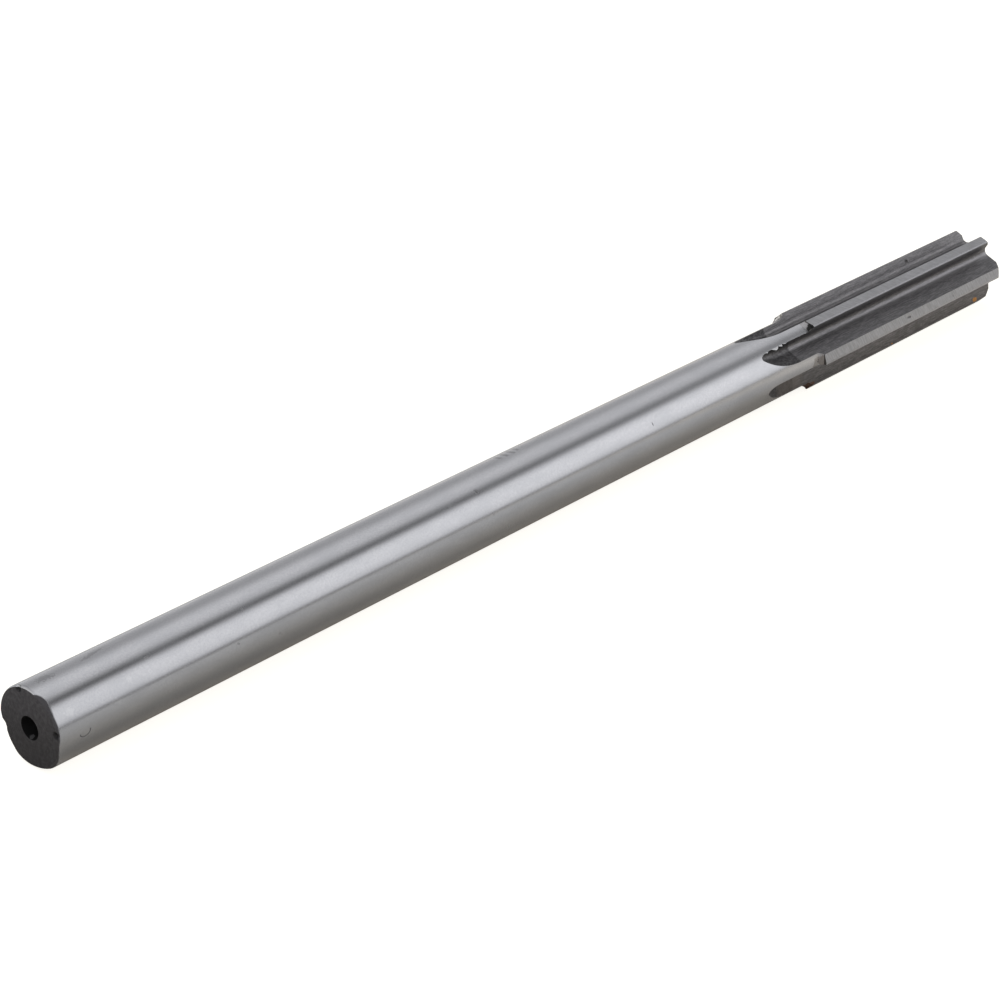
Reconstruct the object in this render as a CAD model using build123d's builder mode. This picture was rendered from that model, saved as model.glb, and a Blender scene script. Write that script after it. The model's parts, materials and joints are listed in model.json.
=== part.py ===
from build123d import *
from math import atan2, atan, cos, degrees, radians, sin, tan
import os

os.makedirs("parts", exist_ok=True)

# A machine reamer made from one bar of tool steel: a plain round shank, and a slightly thicker
# head with straight flutes milled along it. It lies on its shank end and on two of its teeth.
# Lengths are in millimetres and angles in degrees.

# The bar: seven inches long and a little over, with a shank of 0.3730 inch
overall_length = 178.0
shank_diameter = 9.474
shank_edge_break = 0.2

# The head: its cutting diameter, and its length from the rear end of the lands to the front face
cutting_diameter = 11.0
head_length = 44.8
rear_chamfer_angle = 45.0
lead_chamfer_length = 1.0
lead_angle = 45.0

# The teeth: each land is a narrow round margin at the cutting edge, then a flat ground lower to the heel
tooth_count = 6
land_width = 1.54
margin_width = 0.25
heel_drop = 0.23

# The flutes: a radial cutting face, a rounded root and a flat back that rises to the next heel
flute_angle = 79.0
flute_root_radius = 0.85
flute_overrun = 4.7
milling_cutter_radius = 19.0
run_out_arc = 45.0

# The centre holes in both ends, which held the bar while it was turned and ground
centre_mouth_diameter = 2.75
centre_pilot_diameter = 1.25
centre_pilot_length = 1.6
centre_angle = 60.0
drill_point_angle = 118.0

# How far the shapes that are cut away reach past the metal
cutting_clearance = 1.0

shank_radius = shank_diameter / 2
cutting_radius = cutting_diameter / 2
heel_radius = cutting_radius - heel_drop

# Places along the axis, counted from the shank's end
head_start = overall_length - head_length
neck_end = head_start - (cutting_radius - shank_radius) / tan(radians(rear_chamfer_angle))
lead_start = overall_length - lead_chamfer_length
front_radius = cutting_radius - lead_chamfer_length * tan(radians(lead_angle))
full_depth_start = head_start - flute_overrun

# Angles around the axis: one tooth, its land and its margin
pitch_angle = 360 / tooth_count
land_angle = degrees(land_width / cutting_radius)
margin_angle = degrees(margin_width / cutting_radius)
gap_angle = pitch_angle - land_angle


def around(radius, angle):
    """The point at this distance from the axis and this angle from the cutting edge."""
    return Vector(radius * cos(radians(angle)), radius * sin(radians(angle)))


# Section of one gap between two teeth, with the cutting edge on the X axis: down the cutting face
# to the root, up the flat back to the next tooth's heel, and on over its lowered land to its margin
heel = around(heel_radius, gap_angle)
margin_end = around(cutting_radius, pitch_angle - margin_angle)
root_corner = Vector(heel.X - heel.Y / tan(radians(flute_angle)), 0)
outside = cutting_radius + cutting_clearance
past_margin = around(outside, pitch_angle - margin_angle)

with BuildSketch(Plane.XY.offset(full_depth_start)) as gap_section:
    with BuildLine():
        Polyline(
            (outside, 0),
            root_corner,
            heel,
            margin_end,
            past_margin,
            (outside, past_margin.Y),
            close=True,
        )
    make_face()
    fillet(gap_section.vertices().sort_by_distance(root_corner)[0], flute_root_radius)

# The same section carried straight to the front, and round the milling cutter's axis at the back,
# where the cutter left the bar and the flute runs out in an arc
root_level = gap_section.edges().filter_by(GeomType.CIRCLE)[0].bounding_box().min.X
cutter_axis = Axis((root_level + milling_cutter_radius, 0, full_depth_start), (0, -1, 0))

with BuildPart() as tooth_gap:
    extrude(gap_section.sketch, amount=overall_length + cutting_clearance - full_depth_start)
    revolve(gap_section.sketch, axis=cutter_axis, revolution_arc=run_out_arc)

# Centre hole: a short cone with a drilled pilot hole at its bottom
cone_depth = (centre_mouth_diameter - centre_pilot_diameter) / 2 / tan(radians(centre_angle / 2))
pilot_end = cone_depth + centre_pilot_length
drill_tip = pilot_end + centre_pilot_diameter / 2 / tan(radians(drill_point_angle / 2))

with BuildPart() as centre_hole:
    with BuildSketch(Plane.XZ):
        with BuildLine():
            Polyline(
                (0, 0),
                (centre_mouth_diameter / 2, 0),
                (centre_pilot_diameter / 2, cone_depth),
                (centre_pilot_diameter / 2, pilot_end),
                (0, drill_tip),
                close=True,
            )
        make_face()
    revolve(axis=Axis.Z)

# The teeth that the head lies on: the cutting edge of one and the heel of the next
foot_angle = degrees(atan2(cutting_radius - heel.X, heel.Y))
foot_height = cutting_radius * cos(radians(foot_angle))
first_edge_angle = 180 - foot_angle

# The whole reamer standing on its shank's end
with BuildPart() as upright:
    with BuildSketch(Plane.XZ):
        with BuildLine():
            Polyline(
                (0, 0),
                (shank_radius - shank_edge_break, 0),
                (shank_radius, shank_edge_break),
                (shank_radius, neck_end),
                (cutting_radius, head_start),
                (cutting_radius, lead_start),
                (front_radius, overall_length),
                (0, overall_length),
                close=True,
            )
        make_face()
    revolve(axis=Axis.Z)
    with Locations(Location((0, 0, 0)), Location((0, 0, overall_length), (180, 0, 0))):
        add(centre_hole.part, mode=Mode.SUBTRACT)
    with PolarLocations(0, tooth_count, start_angle=first_edge_angle):
        add(tooth_gap.part, mode=Mode.SUBTRACT)

# At rest the axis rises a little from the shank's end to the thicker head, and the origin is on
# the floor under the middle of the whole reamer
rise = atan((foot_height - shank_radius) / (head_start - shank_edge_break))
along = (cos(rise), 0, sin(rise))
upward = (-sin(rise), 0, cos(rise))
tilted = Plane(origin=(0, 0, 0), x_dir=upward, z_dir=along)
extent = upright.part.moved(tilted.location).bounding_box()
shank_end_centre = (-extent.center().X, -extent.center().Y, -extent.min.Z)
resting = Plane(origin=shank_end_centre, x_dir=upward, z_dir=along)

with BuildPart() as reamer:
    with Locations(resting.location):
        add(upright.part)
reamer.part.label = "reamer"
export_step(reamer.part, "parts/reamer.step")
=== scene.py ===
import json
from math import atan2, cos, degrees, radians, sin, tan

import bmesh
import bpy
import numpy as np
from mathutils import Matrix, Vector


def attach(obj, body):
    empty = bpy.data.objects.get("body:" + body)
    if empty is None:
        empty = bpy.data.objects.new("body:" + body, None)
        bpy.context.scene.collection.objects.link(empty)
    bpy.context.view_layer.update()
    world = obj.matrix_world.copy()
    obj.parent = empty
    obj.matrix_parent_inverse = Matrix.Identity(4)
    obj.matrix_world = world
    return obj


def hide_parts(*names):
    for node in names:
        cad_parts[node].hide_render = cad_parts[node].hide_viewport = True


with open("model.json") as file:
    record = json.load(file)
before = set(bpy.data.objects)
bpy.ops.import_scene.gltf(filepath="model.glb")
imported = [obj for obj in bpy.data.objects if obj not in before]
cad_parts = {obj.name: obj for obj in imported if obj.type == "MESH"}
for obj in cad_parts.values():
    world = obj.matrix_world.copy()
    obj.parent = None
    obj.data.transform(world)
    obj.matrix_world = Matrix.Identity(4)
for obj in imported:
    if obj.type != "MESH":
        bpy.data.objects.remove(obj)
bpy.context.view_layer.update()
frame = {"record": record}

# A machine reamer lying on a white table under a tent of white cloth. The whole tool is one skin of rows
# along the bar and columns round it. Sizes are in millimetres and angles in degrees until a mesh is made.
MM = 0.001

# The bar, its head and its edges, as in the part's source
OVERALL_LENGTH = 178.0
SHANK_RADIUS = 4.737
EDGE_BREAK = 0.2
CUTTING_RADIUS = 5.5
HEAD_LENGTH = 44.8
LEAD_LENGTH = 1.0
HEAD_START = OVERALL_LENGTH - HEAD_LENGTH
NECK_END = HEAD_START - (CUTTING_RADIUS - SHANK_RADIUS)
LEAD_START = OVERALL_LENGTH - LEAD_LENGTH
FRONT_RADIUS = CUTTING_RADIUS - LEAD_LENGTH

# The rear chamfer as it was really turned, hollow within the 45 degrees: a cone and then a steep step
STEP_LENGTH = 0.11
CONE_RISE = 0.42
STEP_START = HEAD_START - STEP_LENGTH
STEP_RADIUS = SHANK_RADIUS + CONE_RISE

# The teeth
TEETH = 6
PITCH = 360 / TEETH
LAND_WIDTH = 1.54
MARGIN_WIDTH = 0.25
HEEL_DROP = 0.23
HEEL_RADIUS = CUTTING_RADIUS - HEEL_DROP
HEEL_ANGLE = PITCH - degrees(LAND_WIDTH / CUTTING_RADIUS)
MARGIN_ANGLE = PITCH - degrees(MARGIN_WIDTH / CUTTING_RADIUS)

# The flutes and the milling cutter that made them
FLUTE_ANGLE = 79.0
ROOT_RADIUS = 0.85
CUTTER_RADIUS = 19.0
FLUTE_OVERRUN = 4.7
FULL_DEPTH_START = HEAD_START - FLUTE_OVERRUN

# The centre holes, and the rings down one from its mouth to the drill's point
MOUTH_RADIUS = 1.375
PILOT_RADIUS = 0.625
PILOT_LENGTH = 1.6
CENTRE_HALF_ANGLE = 30
DRILL_HALF_ANGLE = 59
CONE_DEPTH = (MOUTH_RADIUS - PILOT_RADIUS) / tan(radians(CENTRE_HALF_ANGLE))
PILOT_END = CONE_DEPTH + PILOT_LENGTH
DRILL_TIP = PILOT_END + PILOT_RADIUS / tan(radians(DRILL_HALF_ANGLE))
HOLE_RADII = (MOUTH_RADIUS, (MOUTH_RADIUS + PILOT_RADIUS) / 2, PILOT_RADIUS, PILOT_RADIUS, PILOT_RADIUS, 0.0)
HOLE_DEPTHS = (0, CONE_DEPTH / 2, CONE_DEPTH, (CONE_DEPTH + PILOT_END) / 2, PILOT_END, DRILL_TIP)

# Where the reamer lies: its shank's end, the way along it, out to the camera's side and up across it
mount = {m["name"]: m for m in frame["record"]["mounts"]}["shank_centre"]
END = np.array(mount["pos_m"]) / MM
ALONG = -np.array(mount["axis"], float)
ALONG /= np.linalg.norm(ALONG)
SIDE = np.array((0.0, -1.0, 0.0))
UPWARD = np.cross(SIDE, ALONG)

# The section across the head, with the cutting edge at angle 0: the heel, the flute's back and its root
HEEL = np.array((HEEL_RADIUS * cos(radians(HEEL_ANGLE)), HEEL_RADIUS * sin(radians(HEEL_ANGLE))))
ROOT_CORNER = HEEL[0] - HEEL[1] / tan(radians(FLUTE_ANGLE))
SWEEP = radians(180 - FLUTE_ANGLE)
ARC_TOP = ROOT_CORNER + ROOT_RADIUS * tan(SWEEP / 2)
ARC_LENGTH = ROOT_RADIUS * SWEEP
ARC_END = np.array((ARC_TOP - ROOT_RADIUS * sin(SWEEP), ROOT_RADIUS * (1 - cos(SWEEP))))
BACK_LENGTH = float(np.hypot(*(HEEL - ARC_END)))
FLOOR_LENGTH = ARC_LENGTH + BACK_LENGTH
CUTTER_AXIS = ARC_TOP - ROOT_RADIUS + CUTTER_RADIUS

# The first cutting edge, from straight up towards the camera's side: the head rests on an edge and a heel.
# Counted from it, the tooth at the top is the fourth, and the gap that faces the camera is the fifth.
FIRST_EDGE = 180 - degrees(atan2(CUTTING_RADIUS - HEEL[0], HEEL[1]))
TOP_EDGE = FIRST_EDGE + 3 * PITCH - 360
NEAR_GAP = 4

# Wear of the shank's end, by angle: how much its rim has lost across, how far its black scale comes up over
# the rim, and how far bare crumpled metal does, painted pale as the highlight of the worn edge
RIM_LOSS = {
    -180: 0.25, -160: 0.14, -148: 0.1, -138: 0.24, -124: 0.36, -114: 0.46, -110: 0.6, -104: 0.6,
    -101: 0.48, -97: 0.2, -86: 0.06, -55: 0.09, -20: 0.16, 12: 0.2, 33: 0.3, 50: 0.2, 85: 0.1, 112: 0.18,
    130: 0.3, 145: 0.22, 157: 0.28, 172: 0.28, 180: 0.25,
}
RIM_SCALE = {
    -180: 0.3, -160: 0.15, -145: 0, 14: 0, 18: 0.2, 24: 0.4, 33: 0.55, 45: 0.36, 55: 0.28, 68: 0.3,
    85: 0.18, 95: 0.04, 108: 0.1, 120: 0.26, 135: 0.42, 150: 0.5, 165: 0.42, 180: 0.3,
}
RIM_BARE_SHEEN = {-180: 0, -15: 0, -11: 0.14, 0: 0.16, 10: 0.1, 14: 0, 180: 0}

# How far the wear goes along the bar: a least length, and more by the loss. It falls off as a power.
WEAR_LENGTH = 0.12
WEAR_BY_LOSS = 1.5
WEAR_POWER = 1.6
WEAR_LIMIT = 2
# Over how much of the bar the scale and the bare metal end
COVER_FADE = 0.1

# The torn burr where the cutter ran out: where it begins and ends past the flute's tip and over what lengths,
# its height, its lean out and back, and how much more it leans at its lumps
BURR_BEGIN, BURR_RISE = 0.5, 0.8
BURR_END, BURR_FALL = 6.6, 0.6
BURR_HEIGHT = 0.05
BURR_LEAN, BURR_BACK = 0.14, 0.05
LUMP_LEAN = 1.5
# Its lumps: distance along the bar, half length and height. A lump keeps at least this share of its height.
BURR_LUMPS = (
    (122.9, 0.12, 0.12), (124.7, 0.45, 0.32), (126.0, 0.18, 0.2), (126.9, 0.16, 0.1), (130.4, 0.14, 0.03),
    (131.8, 0.2, 0.05),
)
LUMP_LEAST = 0.6
# A lump's slopes would meet at this share of its height, but it is flat at the whole
LUMP_PEAK = 1.6
# The height from which the burr's metal is wholly torn, and wholly painted pale as its highlight
TORN_HEIGHT = 0.12

# Chips and pits: distance along the bar, angle, distance from the axis, reach, depth, and the way in as
# shares towards the axis, round the bar and along it. The first two are in the rim of the shank's end.
CHIPS = [
    (0.0, -17.0, 4.45, 0.5, 0.45, (0.4, 0.0, 0.9)),
    (0.0, 79.5, 4.35, 0.5, 0.4, (0.3, 0.0, 0.9)),
    (65.5, 32.7, SHANK_RADIUS, 0.4, 0.025, (1, 0, 0)),
    (97.1, 58.0, SHANK_RADIUS, 0.32, 0.02, (1, 0, 0)),
    (163.2, TOP_EDGE, 4.5, 0.4, 0.06, (0, -1, 0)),
    (153.5, 86.0, 5.38, 0.4, 0.05, (1, 0, 0)),
    (132.85, 33.6, 5.1, 0.5, 0.3, (0.6, -0.5, 0.4)),
    (132.95, -29.0, 5.3, 0.6, 0.12, (1, 0, 0.6)),
]
RIM_CHIPS = CHIPS[:2]

# The flute that faces the camera: where its painted shade under the cutting edge is none and where it is
# full, down the cutting face, over the floor and along the bar. The same for its painted highlight along the
# root, along the bar, its least share, and its middle and half width.
SHADE_DOWN_FACE = (0.2, 0.45)
SHADE_OVER_FLOOR = (1.0, 0.5)
SHADE_ALONG = (177.2, 175.6)
SHEEN_ALONG = (134.0, 160.0)
SHEEN_LEAST = 0.15
SHEEN_MIDDLE, SHEEN_HALF = 1.5, 0.6

# Where rows lie closer together: at the rim, over its wear, and before the flutes' tips, where the columns
# gather towards each tip. On the head, level rows keep these distances from its two ends.
RIM_STRETCH = 1.5
WORN_STRETCH = 6.0
GATHERING = 6.0
LEVEL_AFTER, LEVEL_BEFORE = 0.9, 0.5
CHIP_ROWS = 9
FLAT_SHARES = (0.03, 0.07, 0.12, 0.18, 0.25, 0.35, 0.5, 0.7, 0.85)

# The search for where the cutter first touches the shank, and how far past that point a row is laid
TRIALS = 4001
TRIAL_SHARE = 1.2
TOUCH = 1e-6
HALVINGS = 44


def blank_radius(s):
    """Radius of the turned bar at distance s from the shank's end: edge break, shank, rear cone and step,
    head and 45 degree lead, as straight lines between their ends."""
    places = (0, EDGE_BREAK, NECK_END, STEP_START, HEAD_START, LEAD_START, OVERALL_LENGTH)
    radii = (
        SHANK_RADIUS - EDGE_BREAK, SHANK_RADIUS, SHANK_RADIUS, STEP_RADIUS, CUTTING_RADIUS, CUTTING_RADIUS,
        FRONT_RADIUS,
    )
    return np.interp(s, places, radii)


def flute_section(q):
    """Floor of a flute in the section, by the distance q along it from the cutting face: an arc of the
    root radius that turns through the sweep, then a straight line up to the heel."""
    turn = np.clip(q, 0, ARC_LENGTH) / ROOT_RADIUS
    run = np.clip(q - ARC_LENGTH, 0, None) / BACK_LENGTH
    x = ARC_TOP - ROOT_RADIUS * np.sin(turn) + run * (HEEL[0] - ARC_END[0])
    y = ROOT_RADIUS * (1 - np.cos(turn)) + run * (HEEL[1] - ARC_END[1])
    return x, y


def floor_point(q, s):
    """The flute's floor at distance s along the bar: the section where the flute is full, and behind
    that the section turned about the milling cutter's axis, so it rises on a circle of the cutter."""
    x, y = flute_section(q)
    back = np.clip(FULL_DEPTH_START - s, 0, None)
    reach = CUTTER_AXIS - x
    return CUTTER_AXIS - np.sqrt(np.clip(reach ** 2 - back ** 2, 0, None)), y


def above_blank(q, s):
    """How far the floor point lies outside the turned bar: negative where the flute has been cut."""
    x, y = floor_point(q, s)
    return np.hypot(x, y) - blank_radius(s)


def crossing(s, inside, outside):
    """The q between an inside and an outside one at which the floor meets the bar, by halving."""
    inside, outside = inside + 0 * s, outside + 0 * s
    for _ in range(HALVINGS):
        middle = (inside + outside) / 2
        cut = above_blank(middle, s) < 0
        inside, outside = np.where(cut, middle, inside), np.where(cut, outside, middle)
    return (inside + outside) / 2


def where_cut_begins(q):
    """The distance along the bar at which the cutter first touches the shank at this q."""
    x, y = flute_section(q)
    drop = CUTTER_AXIS - np.sqrt(SHANK_RADIUS ** 2 - y ** 2)
    return FULL_DEPTH_START - np.sqrt(np.clip((CUTTER_AXIS - x) ** 2 - drop ** 2, 0, None))


trial = np.linspace(0, ARC_LENGTH * TRIAL_SHARE, TRIALS)
TIP_Q = float(trial[np.argmin(where_cut_begins(trial))])
TIP = float(where_cut_begins(np.array(TIP_Q))) + TOUCH
FACE_START = float(where_cut_begins(np.array(0.0))) + TOUCH
TIP_ANGLE = degrees(atan2(*floor_point(np.array(TIP_Q), np.array(TIP))[::-1]))

# Columns of one tooth gap: down the cutting face, over the floor, over the land and over the margin
FACE, FLOOR, LAND, MARGIN = range(4)
COLUMNS_OF = (8, 24, 9, 4)
GAP_COLUMNS = sum(COLUMNS_OF)
COLUMNS = TEETH * GAP_COLUMNS
ZONE = np.repeat((FACE, FLOOR, LAND, MARGIN), COLUMNS_OF)
SHARE = np.concatenate([np.arange(n) / n for n in COLUMNS_OF])
EVEN_ANGLE = PITCH * np.arange(GAP_COLUMNS) / GAP_COLUMNS


def land_radius(angle):
    """Radius of the lowered land's flat at an angle: the straight line from the heel to the margin."""
    a = radians(MARGIN_ANGLE)
    end = np.array((CUTTING_RADIUS * cos(a), CUTTING_RADIUS * sin(a)))
    normal = np.array((end[1] - HEEL[1], HEEL[0] - end[0]))
    normal /= np.hypot(*normal)
    turned = np.radians(angle)
    return (normal @ HEEL) / (normal[0] * np.cos(turned) + normal[1] * np.sin(turned))


def top_radius():
    """Radius of each column's top on the head: the land's flat on land columns, a slope from the
    cutting radius to the heel's across the floor, and the cutting radius elsewhere."""
    angle = HEEL_ANGLE + (MARGIN_ANGLE - HEEL_ANGLE) * SHARE
    floor = CUTTING_RADIUS + (HEEL_RADIUS - CUTTING_RADIUS) * SHARE
    return np.where(ZONE == LAND, land_radius(angle), np.where(ZONE == FLOOR, floor, CUTTING_RADIUS))


def gap_skin(s):
    """One tooth gap as a surface of rows along the bar and columns across the gap. Each column keeps
    its share of the face, floor, land or margin, and lies on the turned bar where nothing is cut."""
    radius = blank_radius(s)
    cut = s > TIP
    full = s > FACE_START
    left = np.where(full, 0.0, np.where(cut, crossing(s, TIP_Q, 0.0), TIP_Q))
    right = np.where(cut, crossing(s, TIP_Q, FLOOR_LENGTH), TIP_Q)
    right = np.where(radius >= HEEL_RADIUS, FLOOR_LENGTH, right)

    left_angle = np.where(full, 0.0, np.degrees(np.arctan2(*floor_point(left, s)[::-1])))
    right_angle = np.degrees(np.arctan2(*floor_point(right, s)[::-1]))
    left_angle = np.where(cut, left_angle, TIP_ANGLE)
    right_angle = np.where(cut, right_angle, TIP_ANGLE)

    # Columns that lie on the bar: an angle and a radius for each. Behind the tips they spread to even angles.
    share = np.broadcast_to(SHARE, s.shape)
    zone = np.broadcast_to(ZONE, s.shape)
    land = right_angle + (MARGIN_ANGLE - right_angle) * share
    margin = MARGIN_ANGLE + (PITCH - MARGIN_ANGLE) * share
    zones = (zone == FACE, zone == FLOOR, zone == LAND)
    angle = np.select(zones, (left_angle * share, left_angle, land), margin)
    spread = np.clip((TIP - s) / GATHERING, 0, 1)
    spread = spread ** 0.5 * (1 - 0.5 * (1 - spread))
    angle = angle + (EVEN_ANGLE - angle) * np.where(cut, 0, spread)
    flat = np.where(angle >= HEEL_ANGLE, land_radius(np.maximum(angle, HEEL_ANGLE)), np.inf)
    out = np.where((zone == LAND) & cut, np.minimum(radius, flat), radius)
    x = out * np.cos(np.radians(angle))
    y = out * np.sin(np.radians(angle))

    # Columns of the floor and of the cutting face
    floor_x, floor_y = floor_point(left + (right - left) * share, s)
    foot_x, _ = floor_point(0 * s, s)
    on_floor = (zone == FLOOR) & cut
    on_face = (zone == FACE) & full
    x = np.where(on_floor, floor_x, np.where(on_face, radius + (foot_x - radius) * share, x))
    y = np.where(on_floor, floor_y, np.where(on_face, 0.0, y))
    return x, y


def steps(begin, end, count):
    """Places at even distances after the first place, up to the second."""
    return np.linspace(begin, end, count + 1)[1:]


def closer_round(places, begin, end):
    """Rows' places with closer ones round each chip that lies between two distances."""
    extra = [s + np.linspace(-1, 1, CHIP_ROWS) * reach for s, _, _, reach, *_ in CHIPS if begin < s < end]
    return np.unique(np.round(np.concatenate([places, *extra]), 4))


def rows_between(begin, end, count):
    """Rows at even distances after the first place, up to the second. A place can differ by column."""
    return begin + (end - begin) * steps(0, 1, count)[:, None] * np.ones(GAP_COLUMNS)


def rows_of_gap():
    """Distances along the bar of all rows, for the columns of one gap: level rows, apart from those
    round the two ends of the head, which follow the slanting edges of the lowered lands. Also gives how many
    rows the shank and the rear chamfer have."""
    top = top_radius()
    level = np.ones(GAP_COLUMNS)
    shank = np.concatenate((
        [0.0], steps(0, RIM_STRETCH, 18), steps(RIM_STRETCH, WORN_STRETCH, 9),
        closer_round(steps(WORN_STRETCH, TIP - GATHERING, 29), WORN_STRETCH, TIP),
        TIP - GATHERING + steps(0, GATHERING, 12), TIP + (FACE_START - TIP) * steps(0, 1, 24) ** 2,
        steps(FACE_START, FULL_DEPTH_START, 35), steps(FULL_DEPTH_START, NECK_END, 25),
    ))
    chamfer_radii = (SHANK_RADIUS, STEP_RADIUS, CUTTING_RADIUS)
    chamfer_end = np.interp(top, chamfer_radii, (NECK_END, STEP_START, HEAD_START))
    lead_begin = LEAD_START + CUTTING_RADIUS - top
    chamfer = np.vstack((rows_between(NECK_END, STEP_START, 7), rows_between(STEP_START, chamfer_end, 6)))
    level_start, level_end = HEAD_START + LEVEL_AFTER, LEAD_START - LEVEL_BEFORE
    head = closer_round(steps(level_start, level_end, 49), HEAD_START, LEAD_START)
    rows = np.vstack((
        shank[:, None] * level, chamfer, rows_between(chamfer_end, level_start, 8), head[:, None] * level,
        rows_between(level_end, lead_begin, 3), rows_between(lead_begin, OVERALL_LENGTH, 5),
    ))
    return rows, len(shank), len(chamfer)


def wander(s, step, seed):
    """An uneven line: random heights from 0 to 1 at every step along the bar, joined by straight lines."""
    heights = np.random.default_rng(seed).random(int(OVERALL_LENGTH / step) + 2)
    return np.interp(s, np.arange(len(heights)) * step, heights)


def around_bar(x, y, s):
    """Turns the section of one gap to all the teeth, and gives places up and to the side, and how torn the
    metal is there. The gap that faces the camera keeps a torn burr along its cutting edge where the cutter
    ran out: the edge column stands out and leans over the flute unevenly, most at the burr's lumps."""
    ups, sides, torn = [], [], []
    for tooth in range(TEETH):
        height, lean = np.zeros_like(x), np.zeros_like(x)
        if tooth == NEAR_GAP:
            edge = np.where(s > FACE_START, (ZONE == FACE) & (SHARE == 0), (ZONE == FLOOR) & (SHARE == 0))
            stretch = np.clip((s - TIP - BURR_BEGIN) / BURR_RISE, 0, 1)
            stretch = stretch * np.clip((TIP + BURR_END - s) / BURR_FALL, 0, 1)
            lumps = sum(h * np.clip(LUMP_PEAK - np.abs(s - at) / half, 0, 1) for at, half, h in BURR_LUMPS)
            lumps = lumps * (LUMP_LEAST + (1 - LUMP_LEAST) * wander(s, 0.25, 5))
            height = edge * (BURR_HEIGHT * stretch * wander(s, 0.35, 3) + lumps)
            lean = edge * (stretch * (BURR_LEAN * wander(s, 0.3, 4) - BURR_BACK) + LUMP_LEAN * lumps)
        angle = np.arctan2(y, x) + radians(FIRST_EDGE + PITCH * tooth)
        radius = np.hypot(x, y) + height
        ups.append(radius * np.cos(angle) - lean * np.sin(angle))
        sides.append(radius * np.sin(angle) + lean * np.cos(angle))
        torn.append(np.clip(height / TORN_HEIGHT, 0, 1))
    return [np.concatenate(each, 1) for each in (ups, sides, torn)]


def wear_rim(up, side, s):
    """The rim of the shank's end with its wear: the radius loses the rim's loss at the end itself, and
    less along the bar, as a power of what is left of the worn length."""
    angle = np.degrees(np.arctan2(side, up))
    loss = np.interp(angle, list(RIM_LOSS), list(RIM_LOSS.values()))
    worn = loss * np.clip(1 - s / (WEAR_LENGTH + WEAR_BY_LOSS * loss), 0, 1) ** WEAR_POWER
    radius = np.hypot(up, side)
    share = np.where(s < WEAR_LIMIT, (SHANK_RADIUS - worn) / radius, 1)
    return up * share, side * share


def end_rows(outline, s_end, inward):
    """Rows that close an end, from the outline inward over the flat face to the mouth of the centre hole,
    down its cone and its pilot to the drill's point. The columns go from the outline's places to even
    angles: each place is a share of the outline's and the rest of the mouth's."""
    even = np.radians(FIRST_EDGE + PITCH * np.arange(COLUMNS) / GAP_COLUMNS)
    circle = np.stack((np.cos(even), np.sin(even)), -1)
    flat = [(1 - t) * outline + t * MOUTH_RADIUS * circle for t in FLAT_SHARES]
    places = np.array(flat + [r * circle for r in HOLE_RADII])
    s = s_end + inward * np.concatenate((np.zeros(len(flat)), HOLE_DEPTHS))
    return places, np.repeat(s[:, None], COLUMNS, 1)


# The whole skin: from the bottom of the shank's centre hole over the bar to the bottom of the other one
rows, shank_rows, chamfer_rows = rows_of_gap()
bar_up, bar_side, bar_torn = around_bar(*gap_skin(rows), rows)
bar_s = np.tile(rows, (1, TEETH))
bar_up, bar_side = wear_rim(bar_up, bar_side, bar_s)
bar = np.stack((bar_up, bar_side), -1)
back, back_s = end_rows(bar[0], 0.0, 1)
front, front_s = end_rows(bar[-1], OVERALL_LENGTH, -1)
across = np.concatenate((back[::-1], bar, front))
s_all = np.concatenate((back_s[::-1], bar_s, front_s))
FIRST = len(back)
LAST = FIRST + len(bar) - 1
points = END + s_all[..., None] * ALONG + across[..., :1] * UPWARD + across[..., 1:] * SIDE


def press_in(points, chip):
    """Moves the metal round a place inward: by the depth at the place itself, falling to nothing at its
    reach as (1 - (distance / reach)^2)^2."""
    s, angle, radius, reach, depth, shares = chip
    outward = cos(radians(angle)) * UPWARD + sin(radians(angle)) * SIDE
    around = -sin(radians(angle)) * UPWARD + cos(radians(angle)) * SIDE
    way = -shares[0] * outward + shares[1] * around + shares[2] * ALONG
    away = np.linalg.norm(points - (END + s * ALONG + radius * outward), axis=-1) / reach
    return points + (np.clip(1 - away ** 2, 0, 1) ** 2 * depth)[..., None] * way


for chip in CHIPS:
    points = press_in(points, chip)

# Faces: each joins a column to the next, round the bar and back to the first
row, column = np.meshgrid(np.arange(len(points) - 1), np.arange(COLUMNS), indexing="ij")
following = (column + 1) % COLUMNS
faces = np.stack((
    row * COLUMNS + column, row * COLUMNS + following, (row + 1) * COLUMNS + following,
    (row + 1) * COLUMNS + column,
), -1)

# The finish of each face, by the columns' zones and the rows' stretches
GROUND_SHANK, GROUND_LAND, WORN_MARGIN, MILLED_FLUTE, SCALED_END, REAR_CHAMFER, DRILLED_HOLE = range(7)
zone = np.tile(ZONE, TEETH)[None, :] * np.ones((len(points) - 1, 1))
middle_s = (s_all[:-1] + s_all[1:]) / 2
finish = np.full(zone.shape, GROUND_SHANK)
chamfer_row = FIRST + shank_rows - 1
head_row = chamfer_row + chamfer_rows
finish[(row >= chamfer_row) & (row < head_row)] = REAR_CHAMFER
finish[row >= head_row] = GROUND_LAND
finish[(row >= head_row) & (zone == MARGIN)] = WORN_MARGIN
finish[((zone == FLOOR) & (middle_s > TIP)) | ((zone == FACE) & (middle_s > FACE_START))] = MILLED_FLUTE
finish[(row < FIRST) | (row >= LAST)] = SCALED_END
finish[(row < len(HOLE_RADII) - 1) | (row >= len(points) - len(HOLE_RADII))] = DRILLED_HOLE

mesh = bpy.data.meshes.new("reamer_skin")
mesh.from_pydata((points.reshape(-1, 3) * MM).tolist(), [], faces.reshape(-1, 4).tolist())

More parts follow.
